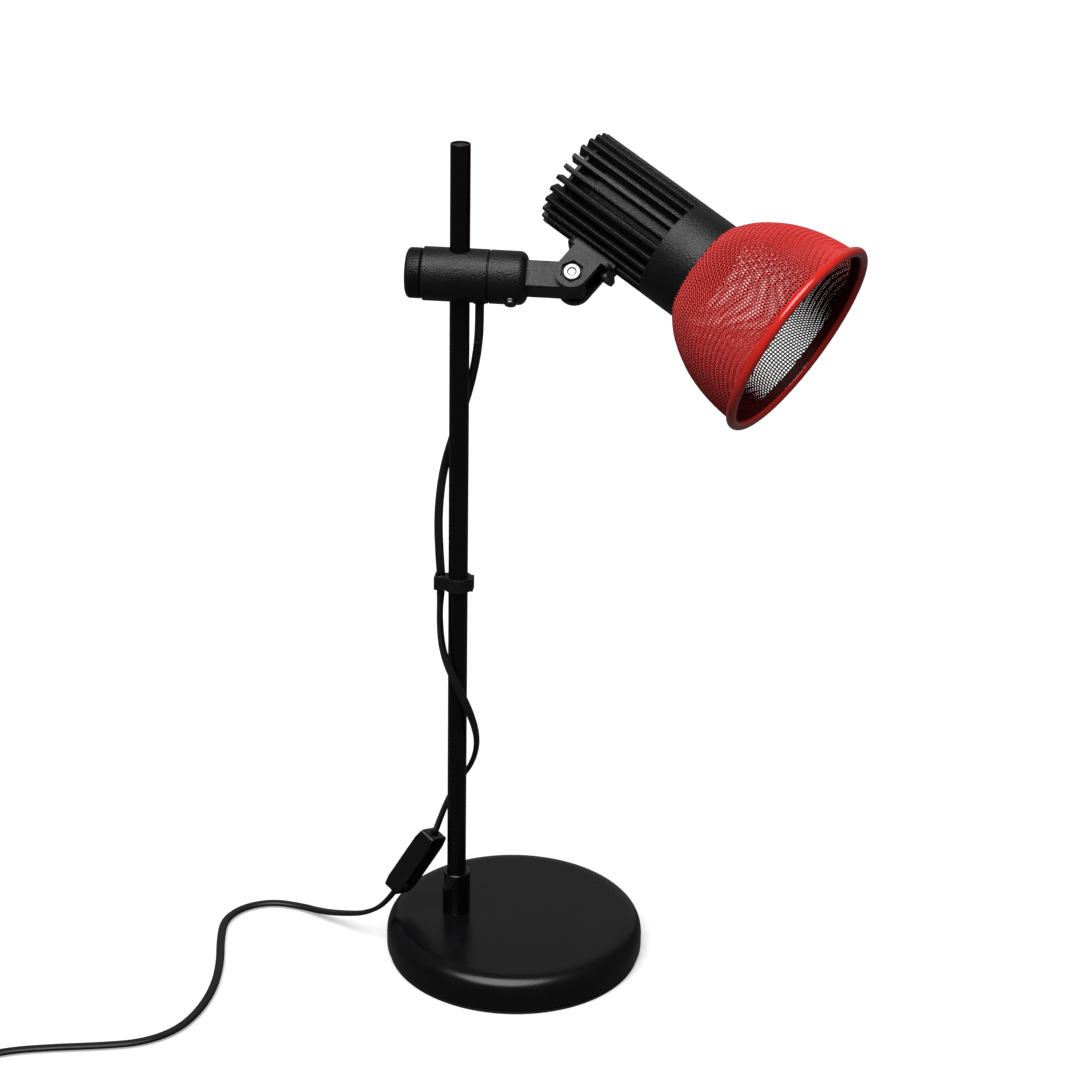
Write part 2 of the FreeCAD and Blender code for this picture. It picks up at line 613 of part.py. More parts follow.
def beside_pole(places, low, high):
    """Points placed from the pole's axis, with heights given as shares of the way up from low to high."""
    return [V(pole_x + x, y, low + share * (high - low)) for x, y, share in places]


gland_point = V(pole_x + gland_x, 0, clamp_z + gland_bottom)
cord_break = V(gland_point.x - 0.6, 1.2, gland_point.z - 24)
lead = Part.makeCylinder(cord_radius, gland_point.sub(cord_break).Length, cord_break, gland_point.sub(cord_break))
lead = lead.common(rod(20, cord_break.z + 0.6 * cord_radius, gland_point.z, pole_x))
save("cord_top", lead)

hang = beside_pole([(8.8, 5.6, 0.896), (3.5, 10.6, 0.747), (-4.5, 11.2, 0.592), (-10.4, 7.6, 0.45),
                    (-12.6, 2.4, 0.301), (-12.2, -0.4, 0.152)], clip_top, cord_break.z)
upper_route = [cord_break] + hang + [V(clip_cord_x, 0, clip_top)]
save("cord_upper", cord_tube("cord_upper", upper_route, cord_radius))

wind = beside_pole([(-11.4, -1.6, 0.873), (-8.0, -8.6, 0.76), (2.4, -12.0, 0.642), (10.8, -8.0, 0.517),
                    (13.0, 1.4, 0.398), (8.6, 10.0, 0.286), (-0.8, 12.4, 0.189), (-8.6, 8.6, 0.104)],
                   switch_top.z, clip_z)
lower_route = [V(clip_cord_x, 0, clip_z)] + wind + [switch_top]
save("cord_lower", cord_tube("cord_lower", lower_route, cord_radius))

coil_center = V(-base_radius - coil_reach, coil_y, 0)
coil_outer = coil_mid_radius + coil_band / 2
coil = rod(coil_outer, coil_lift, coil_lift + coil_band, coil_center.x, coil_center.y)
coil = coil.cut(rod(coil_mid_radius - coil_band / 2, 0, 30, coil_center.x, coil_center.y))
lie = cord_radius + 0.05
floor_run = [(1.1, -6.6, 27.9), (14.6, -3.2, 18.0), (30.6, 6.0, 11.0), (46.6, 15.0, 5.6), (62.6, 24.5, lie),
             (82.4, 27.3, lie), (100.2, 18.2, lie), (109.6, 0.6, lie), (106.4, -25.2, lie), (101.1, -50.0, lie),
             (98.6, -78.0, lie), (101.6, -106.0, lie), (110.6, -130.0, lie), (128.6, -146.0, lie),
             (153.6, -153.0, lie), (180.6, -158.5, lie), (208.6, -166.0, lie), (230.6, -180.0, lie)]
tail_route = [switch_bottom] + [V(-base_radius - x, y, z) for x, y, z in floor_run]
tail_route.append(V(coil_center.x + coil_mid_radius, coil_y - 18, lie + 1.0))
tail = cord_tube("cord_tail", tail_route, cord_radius).cut(rod(coil_outer + seat_gap, -1, 30, coil_center.x, coil_y))
save("cord_tail", max(tail.Solids, key=lambda s: s.Volume))
save("cord_coil", coil)

section_height = coil_band + 2 * (tie_wall + seat_gap)
tie_z = coil_lift - tie_wall - seat_gap
tie_outer = block(coil_mid_radius - section_height / 2, coil_mid_radius + section_height / 2, -3, 3,
                  tie_z, tie_z + section_height)
inner_half = coil_band / 2 + seat_gap
tie_inner = block(coil_mid_radius - inner_half - 0.2, coil_mid_radius + inner_half, -4, 4,
                  coil_lift - seat_gap, coil_lift + coil_band + seat_gap)
tie = tie_outer.cut(tie_inner)
tie.rotate(V(), V(0, 0, 1), 100)
tie.translate(coil_center)
save("coil_tie", tie)

# ---- plug beside the coil, on the short end of the cord
plug_z = plug_thick / 2
end_start = V(coil_center.x + coil_mid_radius, coil_y, coil_lift + 0.75 * coil_band)
plug_entry = V(end_start.x + 2.5, coil_y - 52, plug_z)
end_route = [end_start, V(end_start.x + 1.5, coil_y - 18, end_start.z - 0.1),
             V(end_start.x - 0.5, coil_y - 36, plug_z + 1.2), plug_entry]
tip = cord_tube("cord_end", end_route, cord_radius).cut(rod(coil_outer + seat_gap, -1, 30, coil_center.x, coil_y))
save("cord_end", max(tip.Solids, key=lambda s: s.Volume))
boot_length = 22.0
heading = FreeCAD.Placement(plug_entry, FreeCAD.Rotation(V(0, 0, 1), -80))
boot = Part.makeCone(cord_radius + 1.0, 5.6, boot_length - loose_gap, V(loose_gap, 0, 0), V(1, 0, 0))
save("plug_boot", placed(boot, heading))
plug = block(boot_length, boot_length + plug_length, -plug_width / 2, plug_width / 2,
             -plug_thick / 2, plug_thick / 2)
plug = round_edges(plug, 5.5, lambda e: e.BoundBox.ZLength > 10 and e.BoundBox.XMin < boot_length + 1)
plug = round_edges(plug, 2.0, lambda e: e.BoundBox.ZLength < 0.1)
pins = []
for side in (-1, 1):
    y = side * pin_spacing / 2
    x0 = boot_length + plug_length - 6
    hole = Part.makeCylinder(plug_pin_radius + running_gap, 8, V(x0, y, 0), V(1, 0, 0))
    plug = plug.cut(hole)
    pins.append(Part.makeCylinder(plug_pin_radius, pin_length + 6, V(x0, y, 0), V(1, 0, 0)))
save("plug_body", placed(plug, heading))
save("plug_pins", placed(Part.makeCompound(pins), heading))
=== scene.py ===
import math
import bpy
import bmesh
import numpy as np
from mathutils import Matrix, Vector


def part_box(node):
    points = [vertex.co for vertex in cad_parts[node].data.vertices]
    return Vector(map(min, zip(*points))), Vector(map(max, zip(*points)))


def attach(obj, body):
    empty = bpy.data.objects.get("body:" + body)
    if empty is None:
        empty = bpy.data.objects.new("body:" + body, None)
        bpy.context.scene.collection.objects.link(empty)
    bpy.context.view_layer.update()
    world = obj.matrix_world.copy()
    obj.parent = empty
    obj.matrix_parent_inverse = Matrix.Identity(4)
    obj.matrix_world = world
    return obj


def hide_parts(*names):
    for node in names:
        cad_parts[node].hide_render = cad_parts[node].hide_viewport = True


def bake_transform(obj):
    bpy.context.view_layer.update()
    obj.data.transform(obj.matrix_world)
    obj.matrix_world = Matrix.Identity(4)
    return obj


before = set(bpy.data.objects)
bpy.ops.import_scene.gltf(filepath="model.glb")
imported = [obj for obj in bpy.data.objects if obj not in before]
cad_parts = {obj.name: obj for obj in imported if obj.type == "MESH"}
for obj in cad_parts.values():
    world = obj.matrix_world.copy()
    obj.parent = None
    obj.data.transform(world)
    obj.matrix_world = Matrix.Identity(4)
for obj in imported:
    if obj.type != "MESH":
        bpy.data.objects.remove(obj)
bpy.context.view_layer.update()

# A desk lamp: a weighted round base and pole, a clamp that slides and swings on the pole, an arm
# that swivels, a finned lamp head with a red woven wire shade, and a flat mains cord with a switch.

# ---------------------------------------------------------------------------------------------
# Camera: a long lens a metre and a half away, above the lamp and looking down at it.


def placed(name, data):
    """New object in the scene, made of the data."""
    made = bpy.data.objects.new(name, data)
    bpy.context.scene.collection.objects.link(made)
    return made


camera_data = bpy.data.cameras.new("camera")
camera_data.sensor_width = 36.0
camera_data.lens = 94.97
camera_data.clip_end = 30.0
camera = placed("camera", camera_data)
camera.matrix_world = (Matrix.Translation((0.1783, -1.5801, 0.9910))
                       @ Matrix.Rotation(math.radians(6.0), 4, "Z")
                       @ Matrix.Rotation(math.radians(90 - 23.828), 4, "X")
                       @ Matrix.Rotation(math.radians(1.05), 4, "Z"))
bpy.context.scene.camera = camera

# ---------------------------------------------------------------------------------------------
# Base: a pressed steel shell, powder coated satin black, over a cast iron weight. A plate held by
# three screws closes it underneath, and a soft foot is glued to the plate.
mm = 0.001
upright = Matrix.Rotation(-math.pi / 2, 4, "Y")


class Reading:
    """A value on its way through a material's nodes, which ordinary arithmetic can be done on."""

    def __init__(self, finish, socket):
        self.finish = finish
        self.socket = socket

    def math(self, operation, *others):
        return self.finish.node("ShaderNodeMath", dict(enumerate((self,) + others)), operation=operation)

    def __add__(self, other):
        return self.math("ADD", other)

    def __sub__(self, other):
        return self.math("SUBTRACT", other)

    def __mul__(self, other):
        return self.math("MULTIPLY", other)

    def __truediv__(self, other):
        return self.math("DIVIDE", other)

    def __rsub__(self, other):
        return (self * -1.0) + other

    __radd__ = __add__
    __rmul__ = __mul__

    def between(self, low, high):
        """0 below low, 1 above high, and an even slope between the two."""
        return ((self - low) / (high - low)).math("MAXIMUM", 0.0).math("MINIMUM", 1.0)


class Finish:
    """A material: its Principled shader, and the nodes that vary it over the surface."""

    def __init__(self, name, **constants):
        self.material = bpy.data.materials.new(name)
        self.material.use_nodes = True
        self.tree = self.material.node_tree
        self.shader = self.tree.nodes["Principled BSDF"]
        self.set(**constants)
        self.place = self.node("ShaderNodeTexCoord", output="Object")

    def feed(self, slot, value):
        if isinstance(value, Reading):
            self.tree.links.new(value.socket, slot)
        elif isinstance(value, tuple) and slot.type == "RGBA":
            slot.default_value = (*value[:3], 1.0)
        else:
            slot.default_value = value

    def node(self, kind, inputs=None, output=0, **settings):
        made = self.tree.nodes.new(kind)
        for key, value in settings.items():
            setattr(made, key, value)
        for key, value in (inputs or {}).items():
            self.feed(made.inputs[key], value)
        return Reading(self, made.outputs[output])

    def noise(self, size, detail=2.0, at=None):
        """Soft cloudy pattern; size is the width of its patches in millimetres."""
        return self.node("ShaderNodeTexNoise",
                         {"Vector": at or self.place, "Scale": 1 / (size * mm), "Detail": detail})

    def stretched(self, across, along):
        """The place on the piece, drawn out so that a pattern runs along one axis."""
        return self.node("ShaderNodeMapping", {"Vector": self.place, "Scale": (across, across, along)})

    def mix(self, share, one, two):
        """The colour one, turning into two as share goes from 0 to 1."""
        return self.node("ShaderNodeMix", {0: share, 6: one, 7: two}, output=2, data_type="RGBA")

    def set(self, **inputs):
        for key, value in inputs.items():
            self.feed(self.shader.inputs[key.replace("_", " ")], value)

    def bump(self, height, depth):
        """Raised texture; depth is the height of its bumps in millimetres."""
        self.set(Normal=self.node("ShaderNodeBump", {"Height": height, "Distance": depth * mm}))


def coated(name, dark, light, rough, spread, grain, depth, **constants):
    """Paint or moulded plastic: its shade and gloss wander a little, and it has a fine skin."""
    coat = Finish(name, **constants)
    clouds = coat.noise(14.0, 3.0).between(0.3, 0.7)
    specks = coat.noise(grain, 2.0)
    coat.set(Base_Color=coat.mix(clouds * 0.6 + specks * 0.4, dark, light))
    coat.set(Roughness=rough + spread * clouds + 0.2 * (specks - 0.5))
    coat.bump(specks, depth)
    return coat.material


def turned_steel(name, colour, rough):
    """Bright plated steel with fine tool marks."""
    steel = Finish(name, Metallic=1.0)
    marks = steel.noise(0.5, 3.0)
    clouds = steel.noise(4.0)
    steel.set(Base_Color=steel.mix(clouds, colour, tuple(c * 0.72 for c in colour)))
    steel.set(Roughness=rough + 0.18 * marks)
    steel.bump(marks, 0.02)
    return steel.material


def eased(corners, steps=5):
    """Outline with rounded corners; each corner is (along, out) or (along, out, its rounding)."""
    line = []
    for k, (along, out, *reach) in enumerate(corners):
        here = Vector((along, out))
        if not reach:
            line.append(here)
            continue
        before = Vector(corners[k - 1][:2])
        after = Vector(corners[(k + 1) % len(corners)][:2])
        one = here + (before - here).normalized() * reach[0]
        two = here + (after - here).normalized() * reach[0]
        for n in range(steps + 1):
            share = n / steps
            line.append(one.lerp(here, share).lerp(here.lerp(two, share), share))
    return line


def picked(piece):
    """Make the piece the active one, and the only one selected."""
    bpy.ops.object.select_all(action="DESELECT")
    bpy.context.view_layer.objects.active = piece
    piece.select_set(True)


def turned(name, outline, place, steps=96):
    """Piece of revolution about its own X axis, from (along, out) points in millimetres."""
    data = bpy.data.meshes.new(name)
    count = len(outline)
    ring = [(k, (k + 1) % count) for k in range(count)]
    data.from_pydata([(x * mm, 0, r * mm) for x, r in outline], ring, [])
    piece = placed(name, data)
    picked(piece)
    bpy.ops.object.mode_set(mode="EDIT")
    bpy.ops.mesh.select_all(action="SELECT")
    bpy.ops.mesh.spin(steps=steps, angle=2 * math.pi, center=(0, 0, 0), axis=(1, 0, 0))
    bpy.ops.mesh.select_all(action="SELECT")
    bpy.ops.mesh.remove_doubles(threshold=0.000001)
    bpy.ops.mesh.normals_make_consistent(inside=False)
    bpy.ops.object.mode_set(mode="OBJECT")
    data.transform(place)
    bpy.ops.object.shade_smooth_by_angle(angle=math.radians(32))
    return piece


def fitted(piece, material, body, *nodes):
    """Give the piece its material and its body, in place of the CAD nodes it stands for."""
    piece.data.materials.clear()
    piece.data.materials.append(material)
    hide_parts(*nodes)
    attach(piece, body)


def coloured(material, *nodes):
    """Give CAD nodes that keep their shape a material."""
    for node in nodes:
        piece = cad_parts[node]
        for k in range(len(piece.data.materials)):
            piece.data.materials[k] = material


zinc = turned_steel("bright_zinc", (0.62, 0.62, 0.60), 0.22)
base_black = coated("base_powder_coat", (0.0020, 0.0020, 0.0025), (0.0040, 0.0040, 0.0048),
                    0.23, 0.04, 0.6, 0.012, Specular_IOR_Level=0.45)
base_low, base_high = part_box("base_shell")
radius, low, high = base_high.x / mm, base_low.z / mm, base_high.z / mm
pole_low, pole_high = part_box("pole")
pole_x = (pole_low.x + pole_high.x) / 2 / mm
pole_radius = (pole_high.x - pole_low.x) / 2 / mm
sheet, lower_round, shoulder, shoulder_inside = 2.6, 2.4, 12.0, 8.8
base = turned("base_pressing",
              eased([(low, radius - sheet), (low, radius, lower_round), (high, radius, shoulder), (high, 0),
                     (high - sheet, 0), (high - sheet, radius - sheet, shoulder_inside)], 12), upright, 160)
fitted(base, base_black, "stand", "base_shell")
cast_iron = coated("base_weight_iron", (0.09, 0.09, 0.09), (0.14, 0.14, 0.14), 0.6, 0.1, 1.5, 0.2)
coloured(cast_iron, "base_weight")
coloured(zinc, "base_plate", "base_screws", "pole_stud", "pole_washer", "pole_nut")
foot_rubber = coated("foot_rubber", (0.012, 0.012, 0.012), (0.02, 0.02, 0.02), 0.7, 0.1, 0.8, 0.05)
coloured(foot_rubber, "base_foot")

# ---------------------------------------------------------------------------------------------
# Pole: steel tube, semi-gloss black paint, with a plug in its top end. A glossy ferrule hides the
# joint with the base.
pole_black = Finish("pole_paint", Specular_IOR_Level=0.35)
streaks = pole_black.noise(1.0, 3.0, pole_black.stretched(0.5, 0.02))
dust = pole_black.noise(0.5, 1.0)
pole_black.set(Base_Color=pole_black.mix(streaks, (0.0014, 0.0014, 0.0019), (0.0034, 0.0034, 0.0042)))
pole_black.set(Roughness=0.22 + 0.10 * streaks)
pole_black.bump(dust * 0.5 + streaks * 0.5, 0.006)
wall = 1.2
top, seat = pole_high.z / mm, pole_low.z / mm
pole = turned("pole_tube", eased([(seat, pole_radius - wall), (seat, pole_radius), (top, pole_radius, 0.4),
                                  (top, pole_radius - wall, 0.3)]),
              Matrix.Translation((pole_x * mm, 0, 0)) @ upright, 72)
fitted(pole, pole_black.material, "stand", "pole")
plug_black = coated("plug_black", (0.02, 0.02, 0.021), (0.04, 0.04, 0.041), 0.4, 0.1, 0.4, 0.05)
coloured(plug_black, "pole_plug")
ferrule = coated("ferrule_gloss", (0.0010, 0.0010, 0.0014), (0.0022, 0.0022, 0.0028),
                 0.06, 0.03, 2.0, 0.004, Coat_Weight=0.6, Coat_Roughness=0.04)
sleeve_low, sleeve_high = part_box("pole_sleeve")
sleeve_foot, sleeve_top = sleeve_low.z / mm, sleeve_high.z / mm
sleeve_radius, sleeve_gap = (sleeve_high.y - sleeve_low.y) / 2 / mm, 0.05
sleeve = turned("pole_ferrule",
                eased([(sleeve_foot, pole_radius + sleeve_gap), (sleeve_foot, sleeve_radius, 0.3),
                       (sleeve_top, sleeve_radius, 0.9), (sleeve_top, pole_radius + sleeve_gap, 0.3)]),
                Matrix.Translation((pole_x * mm, 0, 0)) @ upright, 72)
fitted(sleeve, ferrule, "stand", "pole_sleeve")

# ---------------------------------------------------------------------------------------------
# Cord clip: a black moulding that snaps round the pole and holds the cord beside it.


def edges_rounded(piece, reach, angle=35):
    """Round the edges of the active piece that are sharper than the angle."""
    rounding = piece.modifiers.new("rounding", "BEVEL")
    rounding.width = reach * mm
    rounding.segments = 3
    rounding.limit_method = "ANGLE"
    rounding.angle_limit = math.radians(angle)
    bpy.ops.object.modifier_apply(modifier="rounding")


def softened(node, reach):
    """Copy of a CAD node with its sharp edges rounded, as moulding leaves them."""
    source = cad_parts[node]
    piece = placed(node + "_moulded", source.data.copy())
    piece.data.transform(source.matrix_world)
    picked(piece)
    bpy.ops.object.mode_set(mode="EDIT")
    bpy.ops.mesh.select_all(action="SELECT")
    bpy.ops.mesh.remove_doubles(threshold=0.00001)
    bpy.ops.mesh.dissolve_limited(angle_limit=math.radians(0.5))
    bpy.ops.object.mode_set(mode="OBJECT")
    edges_rounded(piece, reach)
    bpy.ops.object.shade_smooth_by_angle(angle=math.radians(35))
    flats = piece.modifiers.new("flats", "WEIGHTED_NORMAL")
    flats.keep_sharp = True
    bpy.ops.object.modifier_apply(modifier="flats")
    return piece


moulding = coated("moulded_black", (0.0045, 0.0045, 0.0054), (0.0095, 0.0095, 0.0108),
                  0.34, 0.10, 1.0, 0.36, Specular_IOR_Level=0.42)
fitted(softened("cord_clip", 0.5), moulding, "stand", "cord_clip")

# ---------------------------------------------------------------------------------------------
# Clamp: a black moulded barrel that turns on a split bushing round the pole. A knurled knob on a
# steel spindle presses a pad on the bushing. The cord enters through a soft gland underneath.
clamp_height = 0.4563
at_clamp = Matrix.Translation((pole_x * mm, 0, clamp_height))
clamp_left, clamp_right, clamp_radius = -21.7, 17.4, 16.0
coloured(moulding, "clamp_bushing", "clamp_pad", "swivel_washer")
coloured(zinc, "knob_spindle", "swivel_pin")
coloured(turned_steel("black_screw", (0.16, 0.16, 0.17), 0.20), "hub_screw", "hub_screw_washer")


def drilled(piece, name, radius, length, place):
    """Bore a round hole in the piece."""
    bpy.ops.object.select_all(action="DESELECT")
    bpy.ops.mesh.primitive_cylinder_add(vertices=64, radius=radius * mm, depth=length * mm)
    drill = bpy.context.object
    drill.data.transform(place)
    bore = piece.modifiers.new(name, "BOOLEAN")
    bore.operation = "DIFFERENCE"
    bore.object = drill
    bore.solver = "EXACT"
    picked(piece)
    bpy.ops.object.modifier_apply(modifier=name)
    bpy.data.objects.remove(drill)


barrel = turned("clamp_barrel", eased([(clamp_left, 0), (clamp_left, clamp_radius, 1.2),
                                       (clamp_right, clamp_radius, 0.7), (clamp_right, 0)]), at_clamp, 112)
pole_gap, drill_length = 0.3, 60
drilled(barrel, "pole_hole", pole_radius + pole_gap, drill_length, at_clamp)
bpy.ops.object.shade_smooth_by_angle(angle=math.radians(32))
fitted(barrel, moulding, "clamp", "clamp_body")

knob_radius, knob_left, knob_right = 15.0, -31.7, -22.1
knob_teeth, tooth_depth = 88, 0.6
inner_rise, outer_rise = 0.8, 2.6
inner_steps = ((0.5, 0.97), (0.3, 0.96))
outer_steps = ((0.9, 0.975), (0.8, 0.95), (0.6, 0.9), (0.3, 0.6), (0, 0.5))
bpy.ops.object.select_all(action="DESELECT")
bpy.ops.mesh.primitive_cylinder_add(vertices=3 * knob_teeth, radius=knob_radius * mm,
                                    depth=(knob_right - knob_left - inner_rise - outer_rise) * mm,
                                    end_fill_type="NGON")
knob = bpy.context.object
knob.name = "knurled_knob"
bpy.ops.object.mode_set(mode="EDIT")
for side, steps in ((1, inner_steps), (-1, outer_steps)):
    bpy.ops.mesh.select_all(action="DESELECT")
    mesh = bmesh.from_edit_mesh(knob.data)
    for face in mesh.faces:
        face.select = face.normal.z * side > 0.9
    mesh.select_flush_mode()
    bmesh.update_edit_mesh(knob.data)
    for rise, shrink in steps:
        bpy.ops.mesh.extrude_region_move()
        bpy.ops.transform.translate(value=(0, 0, side * rise * mm))
        bpy.ops.transform.resize(value=(shrink, shrink, 1))
mesh = bmesh.from_edit_mesh(knob.data)
sides = [f for f in mesh.faces if abs(f.normal.z) < 0.1 and f.calc_area() > 1.5 * mm * mm]
sides.sort(key=lambda f: math.atan2(f.calc_center_median().y, f.calc_center_median().x))
for face in mesh.faces:
    face.select = False
for face in sides[::3]:
    face.select = True
bmesh.update_edit_mesh(knob.data)
bpy.ops.mesh.extrude_faces_move(TRANSFORM_OT_shrink_fatten={"value": -tooth_depth * mm})
bpy.ops.object.mode_set(mode="OBJECT")
bpy.ops.object.shade_smooth_by_angle(angle=math.radians(25))
knob_middle = (knob_left + outer_rise + knob_right - inner_rise) / 2
knob.data.transform(at_clamp @ Matrix.Translation((knob_middle * mm, 0, 0))
                    @ Matrix.Rotation(math.pi / 2, 4, "Y"))
fitted(knob, moulding, "knob", "clamp_knob")
gland_black = coated("gland_rubber", (0.012, 0.012, 0.012), (0.02, 0.02, 0.02), 0.5, 0.1, 0.6, 0.03)
fitted(softened("cord_gland", 0.15), gland_black, "clamp", "cord_gland")

# ---------------------------------------------------------------------------------------------
# Arm: one black moulding, a round hub that turns on the clamp's hollow pin and a square bar with
# a rounded tongue. A screw in the pin's groove, seen under the hub, keeps the hub on.
arm_turn = -42
at_arm = at_clamp @ Matrix.Rotation(math.radians(arm_turn), 4, "X")
fitted(softened("arm", 0.5), moulding, "arm", "arm")

# ---------------------------------------------------------------------------------------------
# Head bracket: black moulded plate with two ears that take the arm's tongue on a steel bolt, whose
# round head sits in a hexagon recess. Two screws hold the plate to the lamp housing.
arm_reach, head_lean = 0.067, 35
at_head = at_arm @ Matrix.Translation((arm_reach, 0, 0)) @ Matrix.Rotation(math.radians(head_lean), 4, "Y")
fitted(softened("head_bracket", 0.5), moulding, "head", "head_bracket")
coloured(zinc, "pivot_nut", "pivot_washers")
bolt_steel = turned_steel("bolt_steel", (0.46, 0.46, 0.45), 0.34)
shank, shank_end, head_radius, head_seat, head_top, dimple_floor = 3.0, -13.6, 5.2, 10.6, 13.9, 13.2
bolt = turned("round_head_bolt",
              eased([(dimple_floor, 0), (dimple_floor, 2.2, 0.3), (head_top, 2.7, 0.3),
                     (head_top, head_radius, 0.9), (head_seat, head_radius), (head_seat, shank),
                     (shank_end, shank, 0.3), (shank_end, 0)]),
              at_head @ Matrix.Rotation(-math.pi / 2, 4, "Z"), 48)
fitted(bolt, bolt_steel, "head", "pivot_bolt")
coloured(bolt_steel, "bracket_screws")

# ---------------------------------------------------------------------------------------------
# Lamp housing: one black moulding, a smooth band at the neck and a ring of cooling fins round a
# liner, open at the back. It carries a bare aluminium can that shields it from the bulb's heat.
neck_ahead, neck_above = 0.0585, 0.052
at_neck = at_head @ Matrix.Translation((neck_ahead, 0, neck_above))
housing_radius, housing_length, band_length = 32.0, 99.5, 25.0
fin_inner, fin_count, fin_thickness, fin_phase = 23.6, 25, 3.0, 0.24
fin_corner, fin_overlap = 5.0, 1
band_back, band_wall, web = -band_length, 2.8, 2
liner_back, liner_front, liner_wall = -79.2, -24, 1.6
ring_back, ring_front, ring_inner, ring_outer = -94.0, -91.3, fin_inner - 1.4, fin_inner + 5
parts = [turned("band", eased([(band_back, fin_inner), (band_back, housing_radius, 0.8),
                               (0, housing_radius, 0.6), (0, housing_radius - band_wall, 0.4),
                               (band_back + web, housing_radius - band_wall), (band_back + web, fin_inner)]),
                at_neck),
         turned("liner", eased([(liner_back, fin_inner), (liner_back, fin_inner + liner_wall),
                                (liner_front, fin_inner + liner_wall), (liner_front, fin_inner)]), at_neck),
         turned("tip_ring", eased([(ring_back, ring_inner, 0.5), (ring_back, ring_outer, 0.5),
                                   (ring_front, ring_outer, 0.5), (ring_front, ring_inner, 0.5)]), at_neck)]


def block(along, width, up, place):
    """Rectangular block; along and up say where it starts and ends, in millimetres."""
    bpy.ops.object.select_all(action="DESELECT")
    bpy.ops.mesh.primitive_cube_add(size=1.0)
    made = bpy.context.object
    middle = Matrix.Translation((sum(along) / 2 * mm, 0, sum(up) / 2 * mm))
    made.data.transform(place @ middle
                        @ Matrix.Diagonal(((along[1] - along[0]) * mm, width * mm, (up[1] - up[0]) * mm, 1)))
    return made


fin = block((-housing_length, band_back + fin_overlap), fin_thickness, (fin_inner, housing_radius), Matrix())
bpy.ops.object.mode_set(mode="EDIT")
mesh = bmesh.from_edit_mesh(fin.data)
for edge in mesh.edges:
    middle = (edge.verts[0].co + edge.verts[1].co) / 2
    edge.select = middle.x < -90 * mm and middle.z > (housing_radius - 0.1) * mm
mesh.select_flush_mode()
bmesh.update_edit_mesh(fin.data)
bpy.ops.mesh.bevel(offset=fin_corner * mm, segments=8, affect="EDGES")
bpy.ops.object.mode_set(mode="OBJECT")
edges_rounded(fin, 0.5, 60)
for k in range(fin_count):
    blade = placed("fin", fin.data.copy())
    blade.data.transform(at_neck @ Matrix.Rotation(2 * math.pi * (k + fin_phase) / fin_count, 4, "X"))
    parts.append(blade)
bpy.data.objects.remove(fin)
saddle_back, saddle_front, saddle_width, saddle_outer, saddle_sink = -73.0, -42.5, 12, 34.7, 1.2
saddle = block((saddle_back, saddle_front), saddle_width, (-saddle_outer, -fin_inner - saddle_sink), at_neck)
edges_rounded(saddle, 0.8)
parts.append(saddle)
bpy.ops.object.select_all(action="DESELECT")
for part in parts:
    part.select_set(True)
bpy.context.view_layer.objects.active = parts[0]
bpy.ops.object.join()
housing = bpy.context.object
housing.name = "finned_housing"
bpy.ops.object.shade_smooth_by_angle(angle=math.radians(32))
fitted(housing, moulding, "head", "lamp_housing")
coloured(turned_steel("heat_can_aluminium", (0.72, 0.72, 0.72), 0.35), "inner_can")

# ---------------------------------------------------------------------------------------------
# Lampholder: black phenolic with a brass thread and contact, screwed to the can through its floor
# by the cap over its terminals. It takes a screw bulb, which isn't fitted.
phenolic = coated("holder_phenolic", (0.012, 0.011, 0.010), (0.018, 0.016, 0.015), 0.3, 0.1, 1.0, 0.02)
coloured(phenolic, "lampholder", "terminal_cap")
coloured(turned_steel("contact_brass", (0.75, 0.55, 0.26), 0.25), "holder_thread", "holder_contact")

# ---------------------------------------------------------------------------------------------
# Shade: plain square cloth of red enamelled wire, drawn over a form into a dome, so its wires stay
# evenly spaced but lean over between the four straight lines; the wires' sides facing the dome's
# middle are near black, painted shade. A black collar holds its neck and a rolled red rim with a
# skirt inside it is closed over its mouth; the skirt is a much darker red, painted shade.
pitch, wire_radius, weave = 1.9, 0.42, 0.36
cloth_start, cloth_end = 0.3, 65.2
spare_cloth = 6
dome_line = [(0.8, 32.55), (8.0, 40.15), (16.8, 46.55), (28.0, 52.45), (40.4, 56.55), (52.0, 58.75),
             (63.8, 59.75), (80.0, 60.0), (95.0, 60.2)]
crown_radius = dome_line[0][1] / math.sin(math.pi / 4)
crown = [(dome_line[0][0] + crown_radius * (math.cos(math.pi / 4) - math.cos(math.radians(1.5 * k))),
          crown_radius * math.sin(math.radians(1.5 * k))) for k in range(31)]
table = crown[:-1]
for before, one, two, after in zip(crown[-2:-1] + dome_line, dome_line, dome_line[1:], dome_line[2:]):
    for k in range(16):
        t = k / 16
        table.append(tuple(0.5 * (2 * b + (c - a) * t + (2 * a - 5 * b + 4 * c - d) * t ** 2
                                  + (3 * b - a - 3 * c + d) * t ** 3)
                           for a, b, c, d in zip(before, one, two, after)))
table = np.array(table)
drawn = np.concatenate(([0.0], np.cumsum(np.hypot(*np.diff(table, axis=0).T))))


def on_dome(spot):
    """Point of the dome from a spot on the flat cloth round the crown, in millimetres."""
    far = math.hypot(*spot)
    x, r = np.interp(far, drawn, table[:, 0]), np.interp(far, drawn, table[:, 1])
    return np.array((x, r * spot[0] / max(far, 1e-9), r * spot[1] / max(far, 1e-9)))


